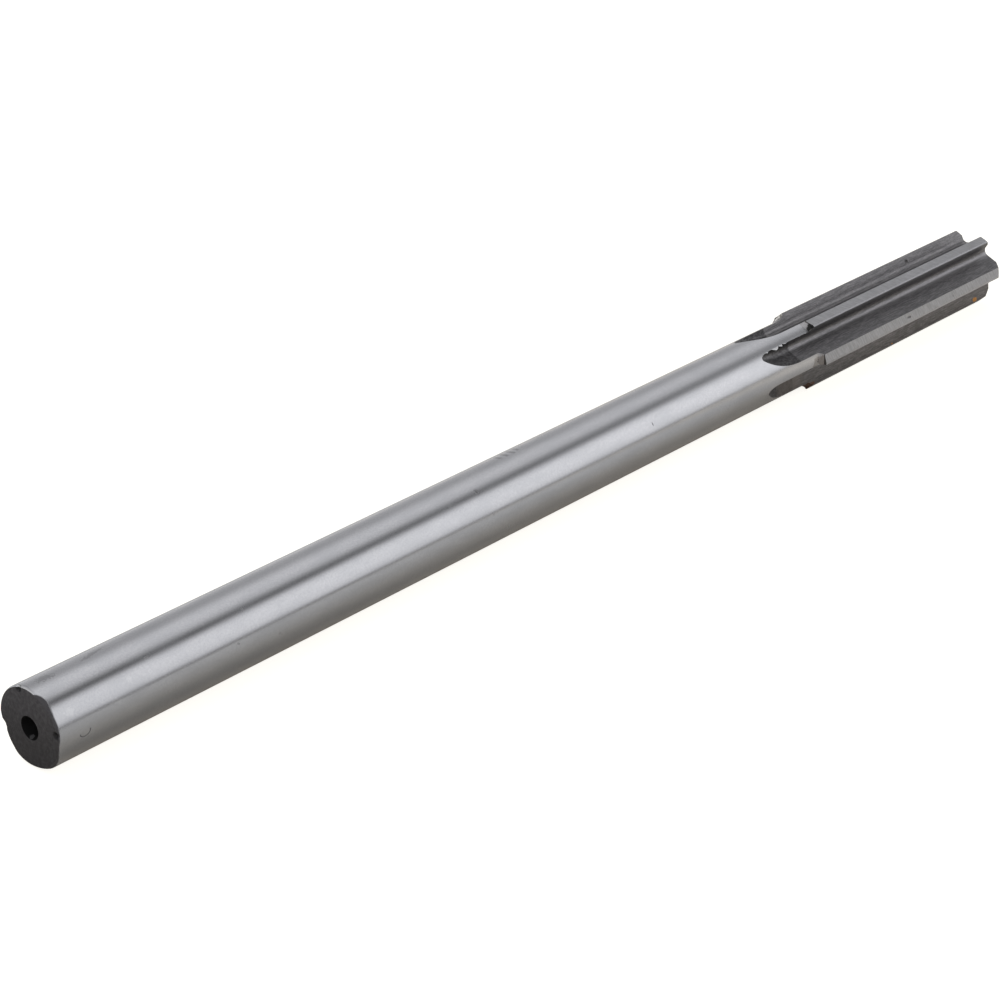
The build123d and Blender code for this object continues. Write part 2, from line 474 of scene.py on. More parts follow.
# A map for what follows the skin: u is the distance along the bar and v the way round it, in metres
SKIN_MAP = "along_and_around"
uv = mesh.uv_layers.new(name=SKIN_MAP)
loops = np.zeros(len(mesh.loops), int)
mesh.loops.foreach_get("vertex_index", loops)
row_of, column_of = loops // COLUMNS, loops % COLUMNS
last_column = np.repeat(column.ravel() == COLUMNS - 1, 4)
angle_all = np.arctan2(across[..., 1], across[..., 0])
turned = np.unwrap(angle_all, axis=1)
turned += 2 * np.pi * np.round((radians(FIRST_EDGE) - turned[:, :1]) / (2 * np.pi))
v = turned[row_of, column_of] + 2 * np.pi * ((column_of == 0) & last_column)
uv.data.foreach_set("uv", np.stack((s_all[row_of, column_of], v * SHANK_RADIUS), -1).ravel() * MM)
mesh.polygons.foreach_set("material_index", finish.ravel().astype(np.int32))


def keep_on_skin(name, shares):
    """Keeps a share for each point of the skin, under a name that the materials read."""
    kept = mesh.attributes.new(name, "FLOAT", "POINT")
    kept.data.foreach_set("value", shares.ravel().astype(np.float32))


# Black scale and bare metal at the rim: 1 where they cover the bar
for name, by_angle in (("rim_scale", RIM_SCALE), ("rim_bare_sheen", RIM_BARE_SHEEN)):
    reach = np.interp(np.degrees(angle_all), list(by_angle), list(by_angle.values()))
    keep_on_skin(name, np.clip((reach - s_all) / COVER_FADE + 0.5, 0, 1) * (reach > 0))

# The torn metal of the burr, which is painted pale as its highlights
keep_on_skin("torn", np.concatenate((np.zeros_like(back_s), bar_torn, np.zeros_like(front_s))))


def ramp(value, begin, end):
    """0 at the first value and 1 at the second, on a straight line between them, and held beyond both."""
    return np.clip((value - begin) / (end - begin), 0, 1)


# The flute that faces the camera: painted shade low on its cutting face and in its root, under the cutting
# edge, and above that a painted highlight along a stretch of the floor, most towards the front
q = np.where(ZONE == FLOOR, SHARE * FLOOR_LENGTH, 0)
painted_edge_shade = np.where(ZONE == FACE, ramp(SHARE, *SHADE_DOWN_FACE), (ZONE == FLOOR) * ramp(q, *SHADE_OVER_FLOOR))
painted_root_sheen = (ZONE == FLOOR) * np.clip(1 - np.abs(q - SHEEN_MIDDLE) / SHEEN_HALF, 0, 1)
near = np.arange(TEETH)[:, None] == NEAR_GAP
keep_on_skin("painted_edge_shade", (near * painted_edge_shade).ravel() * ramp(s_all, *SHADE_ALONG))
keep_on_skin("painted_root_sheen", (near * painted_root_sheen).ravel() * np.maximum(ramp(s_all, *SHEEN_ALONG), SHEEN_LEAST))
mesh.update()


def linear(hex_colour):
    """sRGB hex colour to linear light, with alpha 1."""
    parts = [int(hex_colour[i:i + 2], 16) / 255 for i in (1, 3, 5)]
    return [p / 12.92 if p <= 0.04045 else ((p + 0.055) / 1.055) ** 2.4 for p in parts] + [1.0]


def add(tree, kind, inputs=(), stops=(), **settings):
    """Adds a node of a kind, named as in Blender after ShaderNode, with its settings, its colour ramp's stops,
    and its inputs by name or in order: values, sockets, or nodes, which give their first output in use."""
    node = tree.nodes.new("ShaderNode" + kind)
    for key, value in settings.items():
        setattr(node, key, value)
    for i, (place, colour) in enumerate(stops):
        stop = node.color_ramp.elements[i] if i < 2 else node.color_ramp.elements.new(place)
        stop.position, stop.color = place, colour
    for key, value in inputs.items() if isinstance(inputs, dict) else enumerate(inputs):
        if isinstance(value, bpy.types.Node):
            value = next(output for output in value.outputs if output.enabled)
        if isinstance(value, bpy.types.NodeSocket):
            tree.links.new(value, node.inputs[key])
        else:
            node.inputs[key].default_value = value
    return node


SMOOTH = {"interpolation_type": "SMOOTHSTEP"}


def new_material(name):
    """An empty material and its node tree."""
    material = bpy.data.materials.new(name)
    material.use_nodes = True
    material.node_tree.nodes.clear()
    return material, material.node_tree


def coats(tree, colour, *layers):
    """A colour under further coats. Each has its pattern, the two values of the pattern between which it sets
    in, or None where the pattern is itself its cover, its cover at the most, and its colour."""
    for pattern, sets_in, most, coat in layers:
        if sets_in is not None:
            pattern = add(tree, "MapRange", (pattern, *sets_in, 0.0, most), **SMOOTH)
        elif most < 1:
            pattern = add(tree, "Math", (pattern, most), operation="MULTIPLY")
        coat = linear(coat) if isinstance(coat, str) else coat
        colour = add(tree, "Mix", {0: pattern, 6: colour, 7: coat}, data_type="RGBA")
    return colour


def highest(tree, *patterns):
    """The highest of some patterns at each place. Each counts by its own share."""
    top = 0.0
    for pattern, share in patterns:
        if share < 1:
            pattern = add(tree, "Math", (pattern, share), operation="MULTIPLY")
        top = add(tree, "Math", (top, pattern), operation="MAXIMUM")
    return top


def grain(tree, along, across, detail=2.0, rough=0.5):
    """Uneven pattern from 0 to 1 with its patches this long along the bar and this wide across, in mm."""
    here = add(tree, "TexCoord").outputs["Object"]
    place = add(tree, "Mapping", {0: here, "Scale": (1 / (along * MM), 1 / (across * MM), 1 / (across * MM))})
    return add(tree, "TexNoise", {"Vector": place, "Scale": 1.0, "Detail": detail, "Roughness": rough})


# A mark covers the metal up to the first share of its size, and has ended at the second
COVERS_TO, ENDS_AT = 0.75, 1.15
FAR_AWAY = 1e3


def ragged_cover(tree, away, patch, ragged):
    """1 inside marks and 0 outside, from the distance to the nearest one as a share of its size. Fine grain
    with patches this wide in mm makes the edge ragged."""
    uneven = add(tree, "Math", (grain(tree, patch, patch), 0.5), operation="SUBTRACT")
    edge = add(tree, "Math", (uneven, 2 * ragged, away), operation="MULTIPLY_ADD")
    return add(tree, "MapRange", (edge, COVERS_TO, ENDS_AT, 1.0, 0.0), **SMOOTH)


def mark_place(tree, skin, s, angle, length, width, slant):
    """Place on the skin as a mark has it: 0 at its middle, and 1 away at its ends and sides."""
    way = radians(angle + (360 if angle < FIRST_EDGE else 0)) * SHANK_RADIUS
    return add(tree, "Mapping", {
        0: skin, "Location": (s * MM, way * MM, 0), "Rotation": (0, 0, radians(slant)),
        "Scale": (length * MM, width * MM, 1),
    }, vector_type="TEXTURE")


def marks(tree, places, ragged=0.35):
    """1 inside small marks on the skin and 0 outside. Each has its distance along the bar, angle, half
    length and half width in mm, and slant. The nearest mark counts."""
    skin = add(tree, "UVMap", uv_map=SKIN_MAP)
    nearest = FAR_AWAY
    for mark in places:
        away = add(tree, "VectorMath", (mark_place(tree, skin, *mark),), operation="LENGTH")
        nearest = add(tree, "Math", (nearest, away), operation="MINIMUM")
    return ragged_cover(tree, nearest, 0.25, ragged)


def spots(tree, places, ragged=0.35):
    """1 inside small round spots in the metal and 0 outside. Each has its distance along the bar, angle,
    distance from the axis and half width in mm. The nearest spot counts."""
    here = add(tree, "TexCoord").outputs["Object"]
    nearest = FAR_AWAY
    for s, angle, radius, size in places:
        a = radians(angle)
        spot = (END + s * ALONG + radius * (cos(a) * UPWARD + sin(a) * SIDE)) * MM
        away = add(tree, "VectorMath", (here, tuple(spot)), operation="DISTANCE")
        away = add(tree, "Math", (away, size * MM), operation="DIVIDE")
        nearest = add(tree, "Math", (nearest, away), operation="MINIMUM")
    return ragged_cover(tree, nearest, 0.2, ragged)


def kept_shares(tree, *names):
    """The shares that the skin keeps under these names."""
    return [add(tree, "Attribute", attribute_name=name).outputs["Fac"] for name in names]


def way_along(tree):
    """The distance along the bar, in metres, from the skin's map."""
    return add(tree, "SeparateXYZ", (add(tree, "UVMap", uv_map=SKIN_MAP),)).outputs["X"]


def painted_pale_torn_metal(tree, torn, colour, rough, metallic):
    """Colour, roughness and metallic share with torn metal, which is crumpled, so rougher and less metallic,
    and painted pale as the highlights that it catches."""
    rough = add(tree, "Math", (torn, 0.4, rough), operation="MULTIPLY_ADD")
    metallic = add(tree, "Math", (torn, -0.7, metallic), operation="MULTIPLY_ADD")
    return coats(tree, colour, (torn, None, 1, "#e4e4e4")), rough, metallic


def finish_metal(
    material, tree, colour, metallic, roughness, relief, depth, anisotropic=0.0, edge=1.0, gloss=0.5,
):
    """A finish with its fine relief, this deep in mm. Anisotropic highlights stretch along the bar. Edge is the
    share of gloss that it keeps where it is seen along the surface, and gloss is that of its scale."""
    inputs = {
        "Base Color": colour, "Metallic": metallic, "Roughness": roughness, "Anisotropic": anisotropic,
        "Specular Tint": (edge, edge, edge, 1.0), "Specular IOR Level": gloss,
        "Normal": add(tree, "Bump", {"Height": relief, "Distance": depth * MM, "Strength": 1.0}),
    }
    if anisotropic:
        inputs["Tangent"] = add(tree, "Tangent", direction_type="UV_MAP", uv_map=SKIN_MAP)
    add(tree, "OutputMaterial", {"Surface": add(tree, "BsdfPrincipled", inputs)})
    return material


def rubbed_strokes(tree):
    """A worn patch on the shank, of five faint strokes across the bar, 1.1 mm apart."""
    patch = marks(tree, [(74.8, -12, 2.4, 0.8, 0)], 0.8)
    skin = add(tree, "Mapping", {0: add(tree, "UVMap", uv_map=SKIN_MAP), "Scale": (1 / MM, 0.15 / MM, 1)})
    # A wave texture has a wave every tenth of pi at scale 1
    waves = add(tree, "TexWave", {"Vector": skin, "Scale": np.pi / 10 / 1.1, "Distortion": 1.5})
    strokes = add(tree, "MapRange", (waves.outputs["Fac"], 0.4, 0.8, 0.0, 0.36), **SMOOTH)
    return add(tree, "Math", (patch, strokes), operation="MULTIPLY")


def curved_scratch(tree):
    """One curved scratch near the shank's end: the lower half of a thin ellipse."""
    own = mark_place(tree, add(tree, "UVMap", uv_map=SKIN_MAP), 3.4, 90.5, 0.68, 0.5, -10)
    away = add(tree, "VectorMath", (own,), operation="LENGTH")
    beyond = add(tree, "Math", (away, 1.0), operation="SUBTRACT")
    off_line = add(tree, "Math", (beyond,), operation="ABSOLUTE")
    line = add(tree, "MapRange", (off_line, 0.04, 0.16, 0.75, 0.0), **SMOOTH)
    lower = add(tree, "Math", (add(tree, "SeparateXYZ", (own,)).outputs["Y"], -0.1), operation="GREATER_THAN")
    return add(tree, "Math", (line, lower), operation="MULTIPLY")


def ground_shank():
    """Tool steel, centreless ground: fine rings of grinding lines round the bar draw its reflections out
    along it, so it shows clear bands. Fine speckle, pits and specks, spots worn pale or dull, a brown stain
    before the chamfer of the lower tooth, and at the rim black scale, painted shade where it is chipped, and
    bare torn metal painted pale as a highlight."""
    material, tree = new_material("ground_tool_steel_shank")
    # Grinding lines of about 0.03 mm are too fine to show, so they are drawn 0.16 mm wide
    lines = grain(tree, 0.16, 1.1, 1.0)
    speckle = grain(tree, 0.22, 0.22, 2.0, 0.6)
    clouds = grain(tree, 5.0, 1.6, 2.0)
    pale = marks(tree, [
        (2.2, 57, 0.6, 0.4, 0), (8.0, 71, 0.7, 0.3, 20), (10.3, 54, 0.3, 0.3, 0), (21.9, 32, 0.25, 0.2, 40),
        (60.8, 34, 0.3, 0.25, 0), (47.5, 40, 0.9, 0.25, 0),
    ], 1.4)
    dull = marks(tree, [(2.6, -3, 1.1, 0.5, 0), (9.0, -6, 1.6, 0.3, -12)], 1.6)
    pits = marks(tree, [(65.5, 32.7, 0.24, 0.27, 15), (97.1, 58, 0.08, 0.24, 0)])
    specks = marks(tree, [
        (31.0, 90.4, 0.1, 0.22, 0), (25.0, 76, 0.25, 0.12, 30), (66.4, 72, 0.1, 0.25, 0),
        (27.3, 37.5, 0.14, 0.25, 20), (69.0, 106, 0.09, 0.45, 10), (51.0, 31, 0.12, 0.12, 0),
        (13.5, 38, 0.3, 0.12, 0),
    ])
    # Painted shade in the rim's two chipped places
    painted_chip_shade = spots(tree, [(s, angle, radius, 0.3) for s, angle, radius, *_ in RIM_CHIPS])
    stain = spots(tree, [(132.0, 88.0, 4.8, 0.75), (131.5, 94.0, 4.8, 0.4)], 0.7)
    rim, bare, torn = kept_shares(tree, "rim_scale", "rim_bare_sheen", "torn")
    dark = highest(tree, (pits, 0.65), (specks, 0.25), (painted_chip_shade, 1), (curved_scratch(tree), 1))
    colour = coats(
        tree, linear("#cacacd"),
        (speckle, (0.3, 0.7), 1, "#d2d2d4"),
        (clouds, (0.35, 0.7), 0.5, "#c4c5c8"),
        (pale, None, 0.25, "#e4e4e4"),
        (dull, None, 0.3, "#6e6d6e"),
        (rubbed_strokes(tree), None, 1, "#4c4b4a"),
        (dark, None, 1, "#343233"),
        (stain, None, 0.55, "#8d8680"),
        (rim, None, 1, "#4e4c4e"),
    )
    dark = highest(tree, (dark, 1), (rim, 1))
    rough = add(tree, "MapRange", (clouds, 0.3, 0.7, 0.22, 0.26), **SMOOTH)
    rough = add(tree, "Math", (dark, 0.3, rough), operation="MULTIPLY_ADD")
    metallic = add(tree, "Math", (dark, -0.7, 1.0), operation="MULTIPLY_ADD")
    # Bare metal at the rim and the burr's torn metal: painted pale, as highlights
    torn = highest(tree, (bare, 0.7), (torn, 1))
    colour, rough, metallic = painted_pale_torn_metal(tree, torn, colour, rough, metallic)
    relief = add(tree, "Math", (lines, 0.5, speckle), operation="MULTIPLY_ADD")
    return finish_metal(material, tree, colour, metallic, rough, relief, 0.0006, anisotropic=0.7)


def ground_land():
    """The same steel ground with a cup wheel across the teeth: duller than the shank, with fine slanting
    lines across each land. Two small pits on the lower land."""
    material, tree = new_material("ground_tool_steel_land")
    # Wheel lines of about 0.05 mm are drawn 0.2 mm wide. They slant by a third of a right angle.
    slanted = add(tree, "Mapping", {
        0: add(tree, "UVMap", uv_map=SKIN_MAP), "Rotation": (0, 0, radians(-30)),
        "Scale": (0.2 * MM, 1.6 * MM, 1),
    }, vector_type="TEXTURE")
    lines = add(tree, "TexNoise", {"Vector": slanted, "Scale": 1.0, "Detail": 1.0})
    speckle = grain(tree, 0.35, 0.35, 2.0, 0.6)
    pits = spots(tree, [
        (153.2, 86.0, 5.38, 0.17), (153.5, 86.3, 5.36, 0.2), (153.8, 86.6, 5.38, 0.17),
        (164.8, 87.5, 5.38, 0.1),
    ])
    colour = coats(
        tree, linear("#a9a9ab"),
        (lines, (0.3, 0.7), 1, "#c2c2c4"),
        (speckle, (0.35, 0.7), 0.4, "#acaaa8"),
        (pits, None, 0.65, "#4a4848"),
    )
    rough = add(tree, "MapRange", (lines, 0.3, 0.7, 0.46, 0.54), **SMOOTH)
    return finish_metal(material, tree, colour, 1.0, rough, lines, 0.0003, anisotropic=0.3, edge=0.5)


def worn_margin():
    """Round margin behind each cutting edge, ground like the shank and then worn matt by the work, so it
    stays pale from every side."""
    material, tree = new_material("worn_margin_of_tool_steel")
    speckle = grain(tree, 0.3, 0.15, 2.0, 0.6)
    colour = coats(tree, linear("#b4b4b6"), (speckle, (0.3, 0.7), 1, "#c6c6c8"))
    return finish_metal(material, tree, colour, 1.0, 0.5, speckle, 0.001)


def milled_flute():
    """Milled before hardening, so it kept the dark oxide of the furnace, with fine streaks along the bar
    where the cutter's teeth passed. Rougher and blacker where the cutter ran out. A brown stain, painted shade
    under the cutting edge and a painted highlight along the root in the flute that faces the camera, one pit in
    the top tooth, and rust on the lowest back."""
    material, tree = new_material("furnace_oxide_on_milled_flute")
    streaks = grain(tree, 1.6, 0.13, 3.0, 0.6)
    speckle = grain(tree, 0.35, 0.35, 3.0, 0.65)
    black = coats(tree, linear("#4b4a4b"), (grain(tree, 0.5, 0.3, 3.0, 0.6), (0.35, 0.65), 1, "#696869"))
    # The black part ends on an uneven line where the flute becomes full
    edge = add(tree, "Math", (speckle, 0.5 * MM, way_along(tree)), operation="MULTIPLY_ADD")
    full = FULL_DEPTH_START
    behind = add(tree, "MapRange", (edge, (full + 0.1) * MM, (full + 0.45) * MM, 1.0, 0.0), **SMOOTH)
    brown = spots(tree, [(127.5, 121.0, 4.4, 3.2)], 0.6)
    pit = spots(tree, [(163.05, TOP_EDGE, 4.45, 0.24), (163.35, TOP_EDGE, 4.55, 0.24)])
    rust = spots(tree, [(174.0, 136.4, 4.97, 0.35), (174.4, 136.8, 5.0, 0.34), (152.5, 138.5, 5.25, 0.16)], 0.3)
    dark_rust = spots(tree, [(132.7, 140.0, 4.9, 0.42), (133.2, 139.0, 5.22, 0.45)], 0.4)
    # The flute that faces the camera keeps painted shade under its cutting edge and a painted highlight along
    # its root
    painted_edge_shade, painted_root_sheen, torn = kept_shares(tree, "painted_edge_shade", "painted_root_sheen", "torn")
    colour = coats(
        tree, linear("#676668"),
        (streaks, (0.3, 0.7), 1, "#908e8f"),
        (speckle, (0.4, 0.75), 0.6, "#696867"),
        (behind, None, 1, black),
        (brown, None, 0.45, "#8c847d"),
        (painted_edge_shade, None, 0.5, "#2e2d2d"),
        (painted_root_sheen, None, 0.4, "#c8c6c8"),
        (pit, None, 0.8, "#444342"),
        (rust, None, 1, "#c98a3c"),
        (dark_rust, None, 1, "#5e4233"),
    )
    all_rust = highest(tree, (rust, 1), (dark_rust, 1))
    metallic = add(tree, "Math", (all_rust, -0.9, 1.0), operation="MULTIPLY_ADD")
    rough = add(tree, "MapRange", (streaks, 0.3, 0.7, 0.32, 0.4), **SMOOTH)
    rough = add(tree, "Math", (behind, 0.12, rough), operation="MULTIPLY_ADD")
    colour, rough, metallic = painted_pale_torn_metal(tree, torn, colour, rough, metallic)
    relief = add(tree, "Math", (streaks, speckle), operation="ADD")
    return finish_metal(material, tree, colour, metallic, rough, relief, 0.0025)


def scaled_end():
    """Sawn and faced end under furnace scale: nearly black and dull, with faint rings of the facing cut and
    a few pale flecks where the scale has come off."""
    material, tree = new_material("furnace_scale_on_faced_end")
    here = add(tree, "TexCoord").outputs["Object"]
    centred = add(tree, "Mapping", {0: here, "Location": tuple(-END * MM)})
    flat = add(tree, "VectorMath", (centred, (0.0, 1.0, 1.0)), operation="MULTIPLY")
    out = add(tree, "VectorMath", (flat,), operation="LENGTH")
    # Rings of the facing cut, 0.35 mm apart
    turn = add(tree, "Math", (out, 2 * np.pi / (0.35 * MM)), operation="MULTIPLY")
    rings = add(tree, "Math", (turn,), operation="SINE")
    mottle = grain(tree, 0.5, 0.5, 4.0, 0.65)
    # Painted shade, darker towards the table
    height = add(tree, "SeparateXYZ", (here,)).outputs["Z"]
    painted_low_shade = add(tree, "MapRange", (height, 2.5 * MM, 9.0 * MM, 0.45, 0.03), **SMOOTH)
    # Painted shade in the rim's two chipped places
    painted_chip_shade = spots(tree, [(s, angle, radius, 0.5) for s, angle, radius, *_ in RIM_CHIPS])
    colour = coats(
        tree, linear("#444245"),
        (mottle, (0.3, 0.75), 1, "#605e61"),
        (grain(tree, 0.3, 0.3, 2.0, 0.7), (0.66, 0.76), 0.4, "#858080"),
        (painted_low_shade, None, 1, "#171516"),
        (painted_chip_shade, None, 1, "#1f1d1e"),
    )
    relief = add(tree, "Math", (rings, 0.15, mottle), operation="MULTIPLY_ADD")
    return finish_metal(material, tree, colour, 0.25, 0.55, relief, 0.02)


def oxidised_chamfer():
    """Turned rear chamfer that no wheel has touched: grey steel under a thin brownish oxide, with black painted
    shade on the steep step before each land and in a notch, painted pale highlights on the top tooth and rust
    on the lowest."""
    material, tree = new_material("brown_oxide_on_rear_chamfer")
    mottle = grain(tree, 0.35, 0.3, 3.0, 0.6)
    brown = spots(tree, [(132.9, 88.0, 5.1, 0.8), (133.1, 20.5, 5.3, 0.22)], 0.5)
    # Black on the steep step before each land and in a notch: painted shade
    step_begin, step_full = (STEP_START - 0.04) * MM, (STEP_START + 0.02) * MM
    step = add(tree, "MapRange", (way_along(tree), step_begin, step_full, 0.0, 0.8), **SMOOTH)
    painted_notch_shade = spots(tree, [(132.85, 33.5, 5.1, 0.62), (133.0, 29.5, 5.3, 0.45)], 0.15)
    scale = highest(tree, (step, 1), (painted_notch_shade, 1))
    bare = spots(tree, [(133.1, -30.0, 5.35, 0.75), (132.9, -26.0, 5.2, 0.5)], 0.2)
    # Painted pale highlights on the top tooth's chamfer
    pale = spots(tree, [(132.95, -32.0, 5.3, 0.34), (132.8, -36.0, 5.05, 0.3), (133.05, -26.5, 5.35, 0.2)], 0.6)
    rust = spots(tree, [(133.05, 152.0, 5.3, 0.8), (132.7, 142.0, 4.95, 0.5), (133.2, 141.0, 5.25, 0.45)], 0.3)
    colour = coats(
        tree, linear("#a9a7a8"),
        (mottle, (0.35, 0.65), 1, "#bfbdbd"),
        (brown, None, 0.75, "#857c75"),
        (scale, None, 1, "#232221"),
        (bare, None, 1, "#9d9a96"),
        (pale, None, 1, "#efece6"),
        (rust, None, 1, "#5e4233"),
    )
    not_bare = add(tree, "Math", (1.0, bare), operation="SUBTRACT")
    scale = add(tree, "Math", (scale, not_bare), operation="MULTIPLY")
    dull = highest(tree, (rust, 1), (pale, 1), (scale, 0.7))
    metallic = add(tree, "Math", (dull, -0.8, 0.95), operation="MULTIPLY_ADD")
    return finish_metal(material, tree, colour, metallic, 0.42, mottle, 0.015)


def drilled_hole():
    """Centre drilled hole, black with scale and dirt and with painted shade of its depth, a little brighter on
    the ridges that the drill left, and with one painted grey glint in the mouth of the shank's."""
    material, tree = new_material("scale_and_painted_shade_in_centre_hole")
    ridges = grain(tree, 0.15, 0.6)
    # A painted glint low in the mouth of the shank's hole
    painted_glint = spots(tree, [(0.27, 184.0, 1.22, 0.3)], 0.6)
    # The near-black colour is partly painted shade of the hole's depth
    colour = coats(tree, linear("#030303"), (ridges, (0.5, 0.8), 1, "#0e0d0d"), (painted_glint, None, 0.55, "#5c5b5c"))
    return finish_metal(material, tree, colour, 0.0, 0.7, ridges, 0.02, gloss=0.15)


# In the order of the finishes
for make in (
    ground_shank, ground_land, worn_margin, milled_flute, scaled_end, oxidised_chamfer, drilled_hole,
):
    mesh.materials.append(make())

reamer = bpy.data.objects.new("reamer_skin", mesh)
bpy.context.scene.collection.objects.link(reamer)

# The bottoms of the holes become one point each. Edges sharper than this show as edges.
SAME_POINT = 2e-7
SHARP_ANGLE = 20
bm = bmesh.new()
bm.from_mesh(mesh)
bmesh.ops.remove_doubles(bm, verts=bm.verts, dist=SAME_POINT)
bm.to_mesh(mesh)
bm.free()
mesh.shade_smooth()
mesh.set_sharp_from_angle(angle=radians(SHARP_ANGLE))

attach(reamer, "root")
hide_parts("reamer")

# The camera, from the shank's end: its place, its heading from the bar and its dip
CAMERA_PLACE = (-137.10, 137.33, 186.78)
CAMERA_HEADING = 41.698
CAMERA_DIP = 26.146
FOCAL_SHARE = 2.572
SENSOR = 36.0
NEAREST_SEEN = 10 * MM

camera_data = bpy.data.cameras.new("camera")
camera_data.sensor_width = SENSOR
camera_data.lens = SENSOR * FOCAL_SHARE
camera_data.clip_start = NEAREST_SEEN
camera = bpy.data.objects.new("camera", camera_data)
place = END + CAMERA_PLACE[0] * ALONG + CAMERA_PLACE[1] * UPWARD + CAMERA_PLACE[2] * SIDE
heading, dip = radians(CAMERA_HEADING), radians(CAMERA_DIP)
forward = cos(dip) * (cos(heading) * ALONG - sin(heading) * SIDE) - sin(dip) * UPWARD
right = sin(heading) * ALONG + cos(heading) * SIDE
above = np.cross(right, forward)
turn = Matrix(np.column_stack((right, above, -forward)).tolist()).to_4x4()
camera.matrix_world = Matrix.Translation(Vector(place * MM)) @ turn
bpy.context.scene.collection.objects.link(camera)
bpy.context.scene.camera = camera


def put_on_stage(name, mesh, material):
    """A piece of the surroundings, with its material."""
    mesh.materials.append(material)
    piece = bpy.data.objects.new(name, mesh)
    bpy.context.scene.collection.objects.link(piece)
    return piece


def grey_stops(levels, whole):
    """Stops of a colour ramp from grey levels by place, with places up to the whole."""
    return [(place / whole, (grey, grey, grey, 1)) for place, grey in levels.items()]


# The table: warm white. The camera also sees a glow of its own, which makes it white and leaves the shadow.
# The steel mirrors some of that glow, by the distance from the bar's line in mm: beside the bar, more towards
# the head, still more by its front, and most behind the bar. Pairs say between which places along the bar
# from its middle, or away from its line, each part sets in.
TABLE_HALF = 4.0
TABLE_GLOW = 0.9
GLOW_REACH = 50.0
BESIDE_GLOW = {0: 0.0, 2.5: 0.08, 3.5: 0.08, 5.5: 0.0, 8: 0.0, 12: 0.05, 24: 0.15, 45: 0.18}
HEAD_GLOW = 0.075
HEAD_ALONG, HEAD_AWAY = np.array((-80, 30)) * MM, np.array((1.5, 7)) / GLOW_REACH
FRONT_GLOW = {0: 0.0, 3: 0.0, 9: 0.2, 22: 0.2, 38: 0.0}
FRONT_ALONG = np.array((45, 70)) * MM
BEHIND_GLOW = 0.33
BEHIND_AWAY = np.array((20, 120)) * MM
# The mirrored glow is warm, and less so farther along. Away from the bar it is cool, farther along by a share.
WARM_ALONG = np.array((10, 50)) * MM
COOL_AWAY, COOL_ALONG = np.array((6, 13)) / GLOW_REACH, np.array((35, 60)) * MM
COOL_LEFT = 0.3

table_mesh = bpy.data.meshes.new("table")
corners = [(x * TABLE_HALF, y * TABLE_HALF, 0) for x, y in ((-1, -1), (1, -1), (1, 1), (-1, 1))]
table_mesh.from_pydata(corners, [], [(0, 1, 2, 3)])
material, tree = new_material("white_table")
rays = add(tree, "LightPath").outputs
along, back, _ = add(tree, "SeparateXYZ", (add(tree, "TexCoord").outputs["Object"],)).outputs
off_line = add(tree, "Math", (back,), operation="ABSOLUTE")
away = add(tree, "Math", (off_line, GLOW_REACH * MM), operation="DIVIDE")
mirrored = add(tree, "ValToRGB", (away,), grey_stops(BESIDE_GLOW, GLOW_REACH))
headward = add(tree, "Math", (
    add(tree, "MapRange", (along, *HEAD_ALONG, 0.0, HEAD_GLOW), **SMOOTH),
    add(tree, "MapRange", (away, *HEAD_AWAY, 0.0, 1.0), **SMOOTH),
), operation="MULTIPLY")
frontal = add(tree, "Math", (
    add(tree, "ValToRGB", (away,), grey_stops(FRONT_GLOW, GLOW_REACH)),
    add(tree, "MapRange", (along, *FRONT_ALONG, 0.0, 1.0), **SMOOTH),
), operation="MULTIPLY")
behind = add(tree, "MapRange", (back, *BEHIND_AWAY, 0.0, BEHIND_GLOW), **SMOOTH)
for more in (headward, frontal, behind):
    mirrored = add(tree, "Math", (mirrored, more), operation="ADD")
mirrored = add(tree, "Math", (rays["Is Glossy Ray"], mirrored), operation="MULTIPLY")
seen = highest(tree, (rays["Is Camera Ray"], 1), (rays["Is Transmission Ray"], 1))
strength = add(tree, "Math", (seen, TABLE_GLOW, mirrored), operation="MULTIPLY_ADD")
cool = add(tree, "Math", (
    add(tree, "MapRange", (away, *COOL_AWAY, 0.0, 1.0), **SMOOTH),
    add(tree, "MapRange", (along, *COOL_ALONG, 1.0, COOL_LEFT), **SMOOTH),
), operation="MULTIPLY")
tint = coats(
    tree, linear("#fff0dc"),
    (along, WARM_ALONG, 1, "#fff3e3"),
    (cool, None, 1, "#ecf3ff"),
    (seen, None, 1, "#fffdf8"),
)
paint = add(tree, "BsdfDiffuse", {"Color": linear("#b1aea7")})
glow = add(tree, "Emission", {"Color": tint, "Strength": strength})
add(tree, "OutputMaterial", {"Surface": add(tree, "AddShader", (paint, glow))})
put_on_stage("table", table_mesh, material)

world = bpy.data.worlds.new("white_room")
bpy.context.scene.world = world
world.use_nodes = True
world.node_tree.nodes.clear()
room = add(world.node_tree, "Background", {"Color": (1, 1, 1, 1), "Strength": 1.0})
add(world.node_tree, "OutputWorld", {"Surface": room})

# The tent: a long half round of cloth over the table, lit unevenly from outside. Its brightness goes by the
# angle above the camera's side, and changes from the near stretch to the far one.
TENT_RADIUS = 900.0
TENT_HALF = 3000.0
TENT_YAW = -16.7
TENT_ROWS, TENT_COLUMNS = 46, 3
NEAR_PLACE, FAR_PLACE = 400.0, 1150.0
NEAR_CLOTH = {
    0: 0.14, 3: 0.18, 7: 0.66, 11: 0.78, 20: 0.9, 32: 0.935, 46: 0.9, 52: 0.7, 58: 0.24, 64: 0.1, 70: 0.3,
    80: 0.7, 95: 0.87, 108: 0.86, 128: 0.48, 140: 0.4, 160: 0.47, 180: 0.58,
}
FAR_CLOTH = {
    0: 0.2, 1: 0.32, 3.8: 1.1, 20: 1.15, 32: 1.11, 46: 0.93, 52: 0.7, 58: 0.5, 64: 0.39, 70: 0.36, 80: 0.58,
    95: 0.7, 108: 0.67, 128: 0.5, 140: 0.46, 160: 0.52, 180: 0.62,
}
